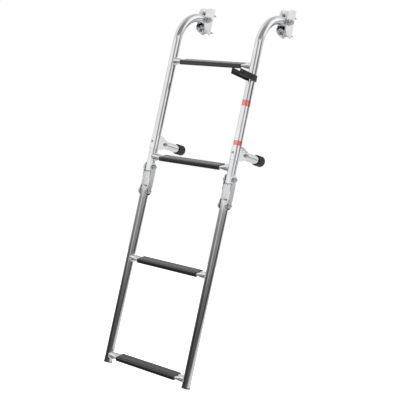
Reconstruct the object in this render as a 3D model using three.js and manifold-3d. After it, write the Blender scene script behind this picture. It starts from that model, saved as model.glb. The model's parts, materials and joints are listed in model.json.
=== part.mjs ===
// Folding boarding ladder for a boat. Two side tubes bend over at the top and hang from a pair of
// hull brackets; a lower section folds up in front of the upper one on double-pivot hinge links, and
// two swing-away standoffs keep the tubes clear of the hull.
// Millimetres. +X is to the right for someone facing the hull, +Y points into the hull, +Z is up.
// The origin lies on the hull face, midway between the brackets and level with their pivot bolts.
import * as THREE from "three";
import { mergeVertices } from "three/addons/utils/BufferGeometryUtils.js";
import Module from "manifold-3d";

const wasm = await Module();
wasm.setup();

// ---- Driving dimensions ----

const CLEARANCE = 0.3; // between neighbouring pieces

const STILE = { radius: 12.7, wall: 1.5 };
const STILE_SPACING = 312; // between the side tubes' centre lines
const STILE_TO_HULL = 134; // from the side tubes' centre line to the hull face
const BEND = { radius: 99, steps: 9 }; // a quarter turn, swept in this many steps

const TOP_RUNG_Z = -166;
const RUNG_STEP = 305; // within a section
const SECTION_STEP = 319; // from the upper section's last rung to the lower section's first
const FOOT_BELOW_RUNG = 20;

const RUNG = { radius: 11.1, wall: 1.2, flatHalfWidth: 15, flatHalfThickness: 4.2 };
const TREAD = { halfLength: 115, halfDepth: 18, corner: 4, top: 6.4, bottom: -8, mouthHalfWidth: 9 };
const TREAD_RIBS = { count: 6, pitch: 5, width: 2.6, crest: 1.8, height: 0.9 };
const TREAD_TILT = THREE.MathUtils.degToRad(22); // the back edge is the higher one
const TREAD_OFFSET = { y: 2, z: 1.8 }; // the flattened middle of a rung, from its round ends

const PIVOT = { pitch: 76, upperBelowRung: 32 }; // the hinge link's two bolts
const LINK = { sheet: 2, lobe: 13.5, front: -8, webHalfHeight: 24, waistHalfHeight: 20, webGap: 0.5 };
const STUB = { upper: 13, lower: 12 }; // side tube left past each hinge bolt
const DOME_HEIGHT = 6;
const FOOT = { radius: 14, thickness: 3, chamfer: 0.8, depth: 18 };

const BRACKET = { sheet: 3, halfHeight: 43, depth: 41, corner: 20, shoulder: 3, boltToHull: 30 };
const BRACKET_NOTCH = { radius: 12, depth: 6 };
const SCREW_HOLE = { z: 28, radius: 3 };

const STANDOFF_ABOVE_RUNG = 46; // above the upper section's last rung
const STANDOFF = { pivotY: 33, tubeStart: 25, halfHeight: 21, sheet: 1.5 };
const PAD = { radius: 16.3, start: 106, floor: 6, edge: 2 };

const CLIP = { belowRung: 26, height: 18, halfWidth: 16, reach: 81, grip: 13.2 };
const CLIP_LIP = { halfWidth: 8.5, from: -7, throat: -12, back: -14.5, front: -15.5 };
const LABEL = { top: -268, bottom: -402.5, thickness: 0.4, from: -150, to: 60 }; // degrees round the tube

const M10 = { radius: 5, across: 17, head: 6.4, hex: 8, dome: 8 };
const M8 = { radius: 4, across: 13, head: 5.3, hex: 5.5, dome: 5 };
const M6 = { radius: 3, across: 10, head: 4, hex: 4.5, dome: 4 };
const STRAP_SCREW = { radius: 2, headRadius: 4, head: 2.4, length: 9, point: 3 };
const MOUNTING_SCREW = { radius: 2.6, headRadius: 6, head: 4.2, length: 36, point: 7 };

const ROUND = 24; // sides of a full-size tube
const SMALL_ROUND = 14; // sides of a bolt, hole or plug

// ---- Materials ----

const metal = (color, roughness) => new THREE.MeshStandardMaterial({ color, roughness, metalness: 1 });
const polymer = (color, roughness) => new THREE.MeshStandardMaterial({ color, roughness, metalness: 0 });
const polishedTube = () => metal(0xd4d7da, 0.12);
const polishedPlate = () => metal(0xc9cccf, 0.22);
const fastener = () => metal(0xbfc2c6, 0.25);
const treadPlastic = () => polymer(0x1d1e20, 0.6);
const clipPlastic = () => polymer(0x161718, 0.5);
const padRubber = () => polymer(0x26272a, 0.85);
const labelFilm = () => polymer(0xc8c9ca, 0.4);

// ---- Geometry and booleans ----

// Turns a section drawn in (y, z) and extruded along z into one that runs along x.
const ALONG_X = new THREE.Matrix4().makeBasis(
  new THREE.Vector3(0, 1, 0),
  new THREE.Vector3(0, 0, 1),
  new THREE.Vector3(1, 0, 0),
);

function solid(geometry) {
  const bare = geometry.clone();
  bare.deleteAttribute("normal");
  bare.deleteAttribute("uv");
  const merged = mergeVertices(bare, 1e-4);
  const vertProperties = merged.getAttribute("position").array;
  const triVerts = new Uint32Array(merged.index.array);
  return new wasm.Manifold(new wasm.Mesh({ numProp: 3, vertProperties, triVerts }));
}

function geometryOf(manifold) {
  const { vertProperties, triVerts } = manifold.getMesh();
  const geometry = new THREE.BufferGeometry();
  geometry.setAttribute("position", new THREE.BufferAttribute(vertProperties, 3));
  geometry.setIndex(new THREE.BufferAttribute(triVerts, 1));
  geometry.computeVertexNormals();
  return geometry;
}

function cut(body, ...tools) {
  return tools.reduce((left, tool) => left.subtract(solid(tool)), body);
}

function slab(shape, depth, curveSegments) {
  return new THREE.ExtrudeGeometry(shape, { depth, bevelEnabled: false, curveSegments });
}

// A plate whose outline lies in (y, z), between two values of x.
function plateX(shape, from, to, curveSegments = 6) {
  return slab(shape, to - from, curveSegments).applyMatrix4(ALONG_X).translate(from, 0, 0);
}

function rodX(radius, from, to, sides = SMALL_ROUND) {
  const rod = new THREE.CylinderGeometry(radius, radius, to - from, sides);
  return rod.rotateZ(-Math.PI / 2).translate((from + to) / 2, 0, 0);
}

function rodY(radius, from, to, sides = SMALL_ROUND) {
  return new THREE.CylinderGeometry(radius, radius, to - from, sides).translate(0, (from + to) / 2, 0);
}

function rodZ(radius, from, to, sides = SMALL_ROUND) {
  const rod = new THREE.CylinderGeometry(radius, radius, to - from, sides);
  return rod.rotateX(Math.PI / 2).translate(0, 0, (from + to) / 2);
}

function box(from, to) {
  const size = to.map((value, i) => value - from[i]);
  const middle = to.map((value, i) => (value + from[i]) / 2);
  return new THREE.BoxGeometry(...size).translate(...middle);
}

// A body of revolution about y; each point is [radius, y].
function turned(points, sides = SMALL_ROUND) {
  return new THREE.LatheGeometry(points.map(([r, y]) => new THREE.Vector2(r, y)), sides);
}

// The round stretch of a turned profile, from one angle to another about [r, y].
function arcPoints(centre, radius, from, to, steps) {
  return Array.from({ length: steps + 1 }, (_, i) => {
    const angle = from + ((to - from) * i) / steps;
    return [centre[0] + radius * Math.cos(angle), centre[1] + radius * Math.sin(angle)];
  });
}

// A path that a section is swept along, with one section at each station and none between.
class StationPath extends THREE.Curve {
  constructor(stations) {
    super();
    this.stations = stations;
  }

  at(u) {
    return this.stations[Math.round(u * (this.stations.length - 1))];
  }

  getPointAt(u) {
    return this.at(u).point.clone();
  }

  getPoint(u) {
    return this.getPointAt(u);
  }

  getTangentAt(u) {
    return this.at(u).tangent.clone();
  }
}

function ringSection(radius, wall) {
  const ring = new THREE.Shape().absarc(0, 0, radius, 0, 2 * Math.PI);
  ring.holes.push(new THREE.Path().absarc(0, 0, radius - wall, 0, 2 * Math.PI, true));
  return ring;
}

// A full circle gets twice as many sides as curveSegments says.
function sweptTube(stations, radius, wall, sides) {
  return new THREE.ExtrudeGeometry(ringSection(radius, wall), {
    extrudePath: new StationPath(stations),
    steps: stations.length - 1,
    curveSegments: sides / 2,
  });
}

function straightTube(length) {
  return slab(ringSection(STILE.radius, STILE.wall), length, ROUND / 2);
}

// ---- Fasteners, all along x with the head on the left ----

function hexBolt(size, from, to) {
  const corner = size.across / Math.sqrt(3);
  const head = rodX(corner, from - CLEARANCE - size.head, from - CLEARANCE, 6);
  const shank = rodX(size.radius, from - CLEARANCE - 1, to);
  return geometryOf(solid(head).add(solid(shank)));
}

// A cap nut whose open face stands at x = face. Its bore swallows the bolt's end.
function capNut(size, face) {
  const corner = size.across / Math.sqrt(3);
  const seat = face + CLEARANCE;
  const domeRadius = size.across / 2 - 0.8;
  const dome = turned([
    [0, -1],
    [domeRadius, -1],
    ...arcPoints([0, 0], 1, 0, Math.PI / 2, 4).map(([r, y]) => [r * domeRadius, y * size.dome]),
  ]);
  dome.rotateZ(-Math.PI / 2).translate(seat + size.hex, 0, 0);
  const body = solid(rodX(corner, seat, seat + size.hex, 6)).add(solid(dome));
  const bore = rodX(size.radius + CLEARANCE, seat - 1, boltEnd(size, face) + CLEARANCE);
  return geometryOf(cut(body, bore));
}

const boltEnd = (size, face) => face + CLEARANCE + size.hex + size.dome / 3;

// A pan-head screw along y, its head resting at y = 0 and its point at the far end.
function panScrew({ radius, headRadius, head, length, point }) {
  const dome = arcPoints([0, 0], 1, -Math.PI / 2, 0, 4).map(([r, y]) => [r * headRadius, y * head]);
  return turned([...dome, [radius, 0], [radius, length - point], [0, length]], 12);
}

// ---- Side tubes ----

const boltY = STILE_TO_HULL - BRACKET.boltToHull; // from the side tube's centre line
const endRadius = STILE.radius + 0.3; // of a tube's or cheek's rounded end
const upperPivotZ = TOP_RUNG_Z - RUNG_STEP - PIVOT.upperBelowRung;
const lowerPivotZ = upperPivotZ - PIVOT.pitch;
const standoffZ = TOP_RUNG_Z - RUNG_STEP + STANDOFF_ABOVE_RUNG;
const bottomRungZ = TOP_RUNG_Z - 2 * RUNG_STEP - SECTION_STEP;

const stationAt = (y, z, angle) => ({
  point: new THREE.Vector3(0, y, z),
  tangent: new THREE.Vector3(0, Math.sin(angle), Math.cos(angle)),
});

// Up from the stub below the hinge bolt, round the bend and in to just past the bracket bolt.
function upperStileStations() {
  const { radius, steps } = BEND;
  const bend = Array.from({ length: steps + 1 }, (_, i) => {
    const angle = (Math.PI * i) / (2 * steps);
    return stationAt(radius * (1 - Math.cos(angle)), radius * (Math.sin(angle) - 1), angle);
  });
  const end = stationAt(boltY + STILE.radius + 2, 0, Math.PI / 2);
  return [stationAt(0, upperPivotZ - STUB.upper, 0), ...bend, end];
}

// The tool that rounds the tube's upper end about the bracket bolt.
function endRounding() {
  const across = STILE.radius + 7;
  const block = box([-across, boltY, -across], [across, boltY + across, across]);
  const around = rodX(endRadius, -across - 1, across + 1, ROUND).translate(0, boltY, 0);
  return solid(block).subtract(solid(around));
}

function upperStile() {
  const tube = solid(sweptTube(upperStileStations(), STILE.radius, STILE.wall, ROUND));
  const wide = STILE.radius + 1;
  return geometryOf(
    cut(
      tube.subtract(endRounding()),
      rodX(M10.radius + CLEARANCE, -wide, wide).translate(0, boltY, 0),
      rodX(M8.radius + CLEARANCE, -wide, wide).translate(0, 0, upperPivotZ),
      rodY(STRAP_SCREW.radius + CLEARANCE, -wide, 0).translate(0, 0, standoffZ),
    ),
  );
}

const lowerStileTop = lowerPivotZ + STUB.lower;
const lowerStileBottom = bottomRungZ - FOOT_BELOW_RUNG;

function lowerStile() {
  const length = lowerStileTop - lowerStileBottom;
  const tube = straightTube(length);
  const hole = rodX(M8.radius + CLEARANCE, -STILE.radius - 1, STILE.radius + 1);
  return geometryOf(
    cut(solid(tube.translate(0, 0, lowerStileBottom)), hole.translate(0, 0, lowerPivotZ)),
  );
}

const plugRadius = STILE.radius - STILE.wall - CLEARANCE;

// The domed stopper in the lower tube's upper end, standing along z.
function domeStopper() {
  const dome = arcPoints([0, 0], 1, 0, Math.PI / 2, 5).map(([r, y]) => [
    r * STILE.radius,
    CLEARANCE + y * DOME_HEIGHT,
  ]);
  return turned([[0, -DOME_HEIGHT], [plugRadius, -DOME_HEIGHT], [plugRadius, CLEARANCE], ...dome])
    .rotateX(Math.PI / 2)
    .translate(0, 0, lowerStileTop);
}

function footPlug() {
  const { radius, thickness, chamfer, depth } = FOOT;
  const bottom = -CLEARANCE - thickness;
  return turned([
    [0, bottom],
    [radius - chamfer, bottom],
    [radius, bottom + chamfer],
    [radius, -CLEARANCE],
    [plugRadius, -CLEARANCE],
    [plugRadius, depth - chamfer],
    [plugRadius - chamfer, depth],
    [0, depth],
  ])
    .rotateX(Math.PI / 2)
    .translate(0, 0, lowerStileBottom);
}

// ---- Rungs and treads ----

const RUNG_SIDES = 20;

// Presses the middle of a round rung flat, tilts it and shifts it, keeping the wall's thickness.
function pressFlat(geometry, flatTo, roundFrom) {
  const position = geometry.getAttribute("position");
  for (let i = 0; i < position.count; i++) {
    const x = position.getX(i);
    const y = position.getY(i);
    const z = position.getZ(i);
    const press = 1 - THREE.MathUtils.smoothstep(Math.abs(x), flatTo, roundFrom);
    const radius = Math.hypot(y, z);
    const angle = Math.atan2(z, y) - TREAD_TILT;
    const depth = RUNG.radius - radius;
    const thickness = RUNG.flatHalfThickness - depth;
    const cosine = Math.abs(Math.cos(angle)) < 1e-3 ? 0 : Math.cos(angle);
    const straight = Math.sign(cosine) * (RUNG.flatHalfWidth - RUNG.flatHalfThickness);
    const u = THREE.MathUtils.lerp(radius * cosine, straight + thickness * cosine, press);
    const v = THREE.MathUtils.lerp(radius, thickness, press) * Math.sin(angle);
    position.setY(i, u * Math.cos(TREAD_TILT) - v * Math.sin(TREAD_TILT) + press * TREAD_OFFSET.y);
    position.setZ(i, u * Math.sin(TREAD_TILT) + v * Math.cos(TREAD_TILT) + press * TREAD_OFFSET.z);
  }
  return geometry;
}

function rung() {
  const flatTo = TREAD.halfLength + 1;
  const half = STILE_SPACING / 2 - 4;
  const roundFrom = half - STILE.radius;
  const right = [flatTo, (flatTo + roundFrom) / 2, roundFrom, half];
  const tangent = new THREE.Vector3(1, 0, 0);
  const stations = [...right.map((x) => -x).reverse(), ...right].map((x) => ({
    point: new THREE.Vector3(x, 0, 0),
    tangent,
  }));
  const tube = sweptTube(stations, RUNG.radius, RUNG.wall, RUNG_SIDES);
  tube.rotateX(TREAD_TILT);
  const tall = 2 * RUNG.radius;
  const saddles = [-1, 1].map((side) =>
    rodZ(STILE.radius + CLEARANCE, -tall, tall, ROUND).translate((side * STILE_SPACING) / 2, 0, 0),
  );
  return geometryOf(cut(solid(pressFlat(tube, flatTo, roundFrom)), ...saddles));
}

// The snap-on tread's section in (depth, height): a C that grips the pressed rung from above.
function treadSection() {
  const { halfDepth, corner, top, bottom, mouthHalfWidth } = TREAD;
  const crown = top - TREAD_RIBS.height;
  const gripWidth = RUNG.flatHalfWidth + CLEARANCE;
  const gripHeight = RUNG.flatHalfThickness + CLEARANCE;
  const endCentre = gripWidth - gripHeight;
  const section = new THREE.Shape();
  section.moveTo(mouthHalfWidth, bottom);
  section.lineTo(halfDepth - corner, bottom);
  section.absarc(halfDepth - corner, bottom + corner, corner, -Math.PI / 2, 0);
  section.absarc(halfDepth - corner, crown - corner, corner, 0, Math.PI / 2);
  for (let i = TREAD_RIBS.count - 1; i >= 0; i--) {
    const middle = (i - (TREAD_RIBS.count - 1) / 2) * TREAD_RIBS.pitch;
    section.lineTo(middle + TREAD_RIBS.width / 2, crown);
    section.lineTo(middle + TREAD_RIBS.crest / 2, top);
    section.lineTo(middle - TREAD_RIBS.crest / 2, top);
    section.lineTo(middle - TREAD_RIBS.width / 2, crown);
  }
  section.absarc(-halfDepth + corner, crown - corner, corner, Math.PI / 2, Math.PI);
  section.absarc(-halfDepth + corner, bottom + corner, corner, Math.PI, (3 * Math.PI) / 2);
  section.lineTo(-mouthHalfWidth, bottom);
  section.lineTo(-mouthHalfWidth, -gripHeight);
  section.absarc(-endCentre, 0, gripHeight, -Math.PI / 2, -(3 * Math.PI) / 2, true);
  section.absarc(endCentre, 0, gripHeight, Math.PI / 2, -Math.PI / 2, true);
  section.lineTo(mouthHalfWidth, -gripHeight);
  return section;
}

function tread() {
  return plateX(treadSection(), -TREAD.halfLength, TREAD.halfLength, 5)
    .rotateX(TREAD_TILT)
    .translate(0, TREAD_OFFSET.y, TREAD_OFFSET.z);
}

// ---- Hinge link: a channel open to the front, between two pivot bolts ----

const linkInner = STILE.radius + 0.4;
const linkOuter = linkInner + LINK.sheet;
const linkWebInner = STILE.radius + LINK.webGap;

// A round lobe about each bolt, joined by a narrower body that backs on to the web.
function linkCheek() {
  const { lobe, front, webHalfHeight, waistHalfHeight } = LINK;
  const half = PIVOT.pitch / 2;
  const back = linkWebInner + LINK.sheet;
  const shoulder = Math.acos(-front / lobe);
  const cheek = new THREE.Shape();
  cheek.moveTo(back, -webHalfHeight);
  cheek.lineTo(back, webHalfHeight);
  cheek.absarc(0, half, lobe, 0, Math.PI + shoulder);
  cheek.lineTo(front, waistHalfHeight);
  cheek.lineTo(front, -waistHalfHeight);
  cheek.absarc(0, -half, lobe, Math.PI - shoulder, 2 * Math.PI);
  return cheek;
}

function hingeLink() {
  const web = box(
    [-linkInner - 0.5, linkWebInner, -LINK.webHalfHeight],
    [linkInner + 0.5, linkWebInner + LINK.sheet, LINK.webHalfHeight],
  );
  const body = solid(web)
    .add(solid(plateX(linkCheek(), -linkOuter, -linkInner)))
    .add(solid(plateX(linkCheek(), linkInner, linkOuter)));
  const holes = [-1, 1].map((end) =>
    rodX(M8.radius + CLEARANCE, -linkOuter - 1, linkOuter + 1).translate(0, 0, (end * PIVOT.pitch) / 2),
  );
  return geometryOf(cut(body, ...holes));
}

// ---- Hull bracket: a channel whose web is screwed to the hull. Local origin on the bolt axis ----

const bracketInner = STILE.radius + 1;
const bracketOuter = bracketInner + BRACKET.sheet;

function bracketCheek() {
  const { halfHeight, depth, corner, shoulder, boltToHull } = BRACKET;
  const cornerY = boltToHull - depth + corner;
  const cornerZ = halfHeight - shoulder - corner;
  const cheek = new THREE.Shape();
  cheek.moveTo(boltToHull, -halfHeight);
  cheek.lineTo(boltToHull, halfHeight);
  cheek.absarc(cornerY, cornerZ, corner, Math.PI / 2, Math.PI);
  cheek.absarc(cornerY, -cornerZ, corner, Math.PI, (3 * Math.PI) / 2);
  return cheek;
}

function hullBracket() {
  const { halfHeight, sheet, boltToHull } = BRACKET;
  const web = box(
    [-bracketInner - 0.5, boltToHull - sheet, -halfHeight],
    [bracketInner + 0.5, boltToHull, halfHeight],
  );
  const body = solid(web)
    .add(solid(plateX(bracketCheek(), -bracketOuter, -bracketInner)))
    .add(solid(plateX(bracketCheek(), bracketInner, bracketOuter)));
  const from = boltToHull - sheet - 1;
  const to = boltToHull + 1;
  const { radius, depth } = BRACKET_NOTCH;
  const notchZ = halfHeight + radius - depth;
  const ends = [-1, 1].flatMap((end) => [
    rodY(SCREW_HOLE.radius, from, to).translate(0, 0, end * SCREW_HOLE.z),
    rodY(radius, from, to, ROUND).translate(0, 0, end * notchZ),
  ]);
  const boltHole = rodX(M10.radius + CLEARANCE, -bracketOuter - 1, bracketOuter + 1);
  return geometryOf(cut(body, boltHole, ...ends));
}

function mountingScrew() {
  return panScrew(MOUNTING_SCREW).translate(0, BRACKET.boltToHull - BRACKET.sheet - CLEARANCE, 0);
}

// ---- Standoffs: local origin on the side tube's centre line, level with the standoff ----

const strapInner = STILE.radius + 0.4;
const strapOuter = strapInner + STANDOFF.sheet;

// From above: a strap bent round the front of the side tube, both ends running straight back.
function strapPlan() {
  const end = STANDOFF.pivotY + endRadius + 1;
  const plan = new THREE.Shape();
  plan.moveTo(-strapOuter, end);
  plan.absarc(0, 0, strapOuter, Math.PI, 2 * Math.PI);
  plan.lineTo(strapOuter, end);
  plan.lineTo(strapInner, end);
  plan.absarc(0, 0, strapInner, 2 * Math.PI, Math.PI, true);
  plan.lineTo(-strapInner, end);
  return plan;
}

// From the side: full height round the tube, then tapering to a round end about the pivot.
function strapSide() {
  const { pivotY, halfHeight } = STANDOFF;
  const shoulder = STILE.radius + 3.5;
  const side = new THREE.Shape();
  side.moveTo(-strapOuter - 1, -halfHeight);
  side.lineTo(shoulder, -halfHeight);
  side.absarc(pivotY, 0, endRadius, -Math.PI / 2, Math.PI / 2);
  side.lineTo(shoulder, halfHeight);
  side.lineTo(-strapOuter - 1, halfHeight);
  return side;
}

function standoffBracket() {
  const { pivotY, halfHeight } = STANDOFF;
  const strap = solid(slab(strapPlan(), 2 * halfHeight, 10).translate(0, 0, -halfHeight));
  const side = solid(plateX(strapSide(), -strapOuter - 1, strapOuter + 1));
  const pivotHole = rodX(M6.radius + CLEARANCE, -strapOuter - 1, strapOuter + 1);
  const screwHole = rodY(STRAP_SCREW.radius + CLEARANCE, -strapOuter - 1, 0);
  return geometryOf(cut(strap.intersect(side), pivotHole.translate(0, pivotY, 0), screwHole));
}

const standoffTubeEnd = STILE_TO_HULL - PAD.floor - CLEARANCE;

function standoffTube() {
  const { pivotY, tubeStart } = STANDOFF;
  const tube = straightTube(standoffTubeEnd - tubeStart);
  tube.rotateX(-Math.PI / 2).translate(0, tubeStart, 0);
  const hole = rodX(M6.radius + CLEARANCE, -STILE.radius - 1, STILE.radius + 1);
  return geometryOf(cut(solid(tube), hole.translate(0, pivotY, 0)));
}

// The rubber cap that rests on the hull.
function standoffPad() {
  const { radius, start, floor, edge } = PAD;
  const bore = STILE.radius + CLEARANCE;
  return turned(
    [
      [0, STILE_TO_HULL - floor],
      [bore, STILE_TO_HULL - floor],
      [bore, start],
      [radius - edge / 2, start],
      [radius, start + edge],
      [radius, STILE_TO_HULL - edge],
      [radius - edge, STILE_TO_HULL],
      [0, STILE_TO_HULL],
    ],
    ROUND,
  );
}

// Goes through the front of the strap into the side tube's wall.
function strapScrew() {
  return panScrew(STRAP_SCREW).translate(0, -strapOuter - CLEARANCE, 0);
}

// ---- Storage clip and label on the right side tube ----

function storageClip() {
  const { halfWidth, reach, grip, height } = CLIP;
  const { from, throat, back, front } = CLIP_LIP;
  const pocket = STILE.radius + CLEARANCE;
  const right = [
    [halfWidth, -reach],
    [grip, -reach],
    [grip, front],
    [CLIP_LIP.halfWidth, back],
    [CLIP_LIP.halfWidth, throat],
    [pocket, from],
  ];
  const left = right.map(([x, y]) => [-x, y]).reverse();
  const outline = new THREE.Shape();
  outline.moveTo(-halfWidth, 0);
  outline.absarc(0, 0, halfWidth, Math.PI, 0, true);
  right.forEach(([x, y]) => outline.lineTo(x, y));
  outline.absarc(0, 0, pocket, 0, Math.PI);
  left.forEach(([x, y]) => outline.lineTo(x, y));
  return slab(outline, height, 8).translate(0, 0, -height / 2);
}

function label() {
  const inner = STILE.radius + CLEARANCE;
  const from = THREE.MathUtils.degToRad(LABEL.from);
  const to = THREE.MathUtils.degToRad(LABEL.to);
  const film = new THREE.Shape();
  film.absarc(0, 0, inner + LABEL.thickness, from, to);
  film.absarc(0, 0, inner, to, from, true);
  return slab(film, LABEL.top - LABEL.bottom, 12).translate(0, 0, LABEL.bottom);
}

// ---- Assembly ----

const ladder = new THREE.Group();

function mesh(parent, name, geometry, material, position = [0, 0, 0]) {
  const made = new THREE.Mesh(geometry, material());
  made.name = name;
  made.position.set(...position);
  parent.add(made);
}

function group(parent, ...position) {
  const made = new THREE.Group();
  made.position.set(...position);
  parent.add(made);
  return made;
}

const shapes = {
  bracket: hullBracket(),
  bracketBolt: hexBolt(M10, -bracketOuter, boltEnd(M10, bracketOuter)),
  bracketNut: capNut(M10, bracketOuter),
  mountingScrew: mountingScrew(),
  upperStile: upperStile(),
  lowerStile: lowerStile(),
  domeStopper: domeStopper(),
  footPlug: footPlug(),
  hingeLink: hingeLink(),
  hingeBolt: hexBolt(M8, -linkOuter, boltEnd(M8, linkOuter)),
  hingeNut: capNut(M8, linkOuter),
  standoffBracket: standoffBracket(),
  strapScrew: strapScrew(),
  pivotBolt: hexBolt(M6, -strapOuter, boltEnd(M6, strapOuter)),
  pivotNut: capNut(M6, strapOuter),
  standoffTube: standoffTube(),
  standoffPad: standoffPad(),
};

for (const [name, side] of Object.entries({ left: -1, right: 1 })) {
  const frame = group(ladder, (side * STILE_SPACING) / 2, -STILE_TO_HULL, 0);
  mesh(frame, `${name}_upper_stile`, shapes.upperStile, polishedTube);
  mesh(frame, `${name}_lower_stile`, shapes.lowerStile, polishedTube);
  mesh(frame, `${name}_stile_dome`, shapes.domeStopper, polishedPlate);
  mesh(frame, `${name}_foot_plug`, shapes.footPlug, padRubber);

  const bracket = group(frame, 0, boltY, 0);
  mesh(bracket, `${name}_hull_bracket`, shapes.bracket, polishedPlate);
  mesh(bracket, `${name}_bracket_bolt`, shapes.bracketBolt, fastener);
  mesh(bracket, `${name}_bracket_nut`, shapes.bracketNut, fastener);
  for (const [place, end] of Object.entries({ upper: 1, lower: -1 })) {
    const at = [0, 0, end * SCREW_HOLE.z];
    mesh(bracket, `${name}_${place}_mounting_screw`, shapes.mountingScrew, fastener, at);
  }

  const link = group(frame, 0, 0, (upperPivotZ + lowerPivotZ) / 2);
  mesh(link, `${name}_hinge_link`, shapes.hingeLink, polishedPlate);
  for (const [place, end] of Object.entries({ upper: 1, lower: -1 })) {
    const at = [0, 0, (end * PIVOT.pitch) / 2];
    mesh(link, `${name}_${place}_hinge_bolt`, shapes.hingeBolt, fastener, at);
    mesh(link, `${name}_${place}_hinge_nut`, shapes.hingeNut, fastener, at);
  }

  const standoff = group(frame, 0, 0, standoffZ);
  mesh(standoff, `${name}_standoff_bracket`, shapes.standoffBracket, polishedPlate);
  mesh(standoff, `${name}_standoff_screw`, shapes.strapScrew, fastener);
  mesh(standoff, `${name}_standoff_tube`, shapes.standoffTube, polishedTube);
  mesh(standoff, `${name}_standoff_pad`, shapes.standoffPad, padRubber);
  const pivot = [0, STANDOFF.pivotY, 0];
  mesh(standoff, `${name}_standoff_bolt`, shapes.pivotBolt, fastener, pivot);
  mesh(standoff, `${name}_standoff_nut`, shapes.pivotNut, fastener, pivot);

  if (name === "right") {
    const clipZ = TOP_RUNG_Z - CLIP.belowRung - CLIP.height / 2;
    mesh(frame, "storage_clip", storageClip(), clipPlastic, [0, 0, clipZ]);
    mesh(frame, "side_label", label(), labelFilm);
  }
}

const rungShape = rung();
const treadShape = tread();
const rungHeights = {
  top: TOP_RUNG_Z,
  second: TOP_RUNG_Z - RUNG_STEP,
  third: bottomRungZ + RUNG_STEP,
  bottom: bottomRungZ,
};
for (const [name, z] of Object.entries(rungHeights)) {
  const step = group(ladder, 0, -STILE_TO_HULL, z);
  mesh(step, `${name}_rung`, rungShape, polishedTube);
  mesh(step, `${name}_tread`, treadShape, treadPlastic);
}

export default ladder;
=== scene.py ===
"""Looks of the folding boat boarding ladder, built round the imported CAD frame.

Metres, in the frame of the CAD: +X right for someone facing the hull, +Y into the hull, +Z up.
"""

import json
import math

import bmesh
import bpy
from mathutils import Matrix, Vector


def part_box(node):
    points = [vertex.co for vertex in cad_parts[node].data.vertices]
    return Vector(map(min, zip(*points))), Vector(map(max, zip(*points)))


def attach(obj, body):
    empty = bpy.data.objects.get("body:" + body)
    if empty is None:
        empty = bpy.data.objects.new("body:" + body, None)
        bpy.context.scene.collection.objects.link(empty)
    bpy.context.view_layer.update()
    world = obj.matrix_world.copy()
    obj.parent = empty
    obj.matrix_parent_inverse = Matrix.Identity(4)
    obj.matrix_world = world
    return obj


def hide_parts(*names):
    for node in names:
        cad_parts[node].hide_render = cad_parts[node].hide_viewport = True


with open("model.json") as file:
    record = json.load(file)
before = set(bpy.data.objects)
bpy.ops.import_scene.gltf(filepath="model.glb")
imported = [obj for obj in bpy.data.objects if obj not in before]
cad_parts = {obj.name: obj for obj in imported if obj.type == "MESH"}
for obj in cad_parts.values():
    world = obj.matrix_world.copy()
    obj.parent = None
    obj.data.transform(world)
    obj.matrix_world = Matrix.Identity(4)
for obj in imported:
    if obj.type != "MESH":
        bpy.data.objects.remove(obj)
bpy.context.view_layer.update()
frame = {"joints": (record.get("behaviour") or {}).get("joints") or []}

MM = 0.001
SIDES = {"left": -1, "right": 1}
AXIS_X = Vector((1, 0, 0))
AXIS_Y = Vector((0, 1, 0))
AXIS_Z = Vector((0, 0, 1))
X_TO_Y = Matrix.Rotation(math.pi / 2, 4, "Z")
X_TO_Z = Matrix.Rotation(-math.pi / 2, 4, "Y")
ORIGIN = (0, 0)

# ---- Where things are, from the frame ----


def joint_position(name):
    return Vector(next(j for j in frame["joints"] if j["name"] == name)["pos_m"])


lower_low, lower_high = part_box("right_lower_stile")
label_low, label_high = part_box("side_label")
TUBE = (lower_high.x - lower_low.x) / 2  # the side tubes' radius, which the standoffs share
STILE_X = (lower_high.x + lower_low.x) / 2
STILE_Y = (lower_high.y + lower_low.y) / 2
BOLT = joint_position("ladder_swing")
UPPER_PIVOT = joint_position("link_fold")
LOWER_PIVOT = joint_position("lower_fold")
STANDOFF = joint_position("right_standoff_pivot")

# ---- Sizes that the frame doesn't give ----

WALL = 1.5 * MM
PLAY = 0.2 * MM  # between a tube and what goes into it or turns beside it
PLUG = TUBE - WALL - PLAY  # radius of what is plugged into a side tube
BEND = 99 * MM  # radius of the upper tubes' bend, at their axis
RUNG = 11.1 * MM  # radius of a rung's round ends
TREAD_TILT = math.radians(22)
TREAD_SHIFT = Vector((0, 2 * MM, 1.8 * MM))  # from the rung's round ends to its flat and tread

# ---- Materials ----

SPREAD = 0.15  # most of a noise lies this close to a half


def grey(value):
    return (value, value, value, 1)


class Graph:
    """A node tree, with short ways to add a node, a sum, a range or a blend."""

    def __init__(self, tree):
        self.tree = tree

    def add(self, kind, inputs=(), **settings):
        node = self.tree.nodes.new(kind)
        for key, value in settings.items():
            setattr(node, key, value)
        for key, value in dict(inputs).items():
            if isinstance(value, bpy.types.NodeSocket):
                self.tree.links.new(value, node.inputs[key])
            else:
                node.inputs[key].default_value = value
        return node

    def math(self, operation, a, b=0.0):
        return self.add("ShaderNodeMath", {0: a, 1: b}, operation=operation).outputs[0]

    def step(self, value, low, high, to_low=0.0, to_high=1.0):
        """Eases from to_low to to_high as value goes from low to high."""
        inputs = {"Value": value, "From Min": low, "From Max": high, "To Min": to_low, "To Max": to_high}
        return self.add("ShaderNodeMapRange", inputs, interpolation_type="SMOOTHSTEP").outputs[0]

    def blend(self, a, b, amount):
        """a where amount is 0 and b where it is 1."""
        return self.math("ADD", a, self.math("MULTIPLY", amount, self.math("SUBTRACT", b, a)))


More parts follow.
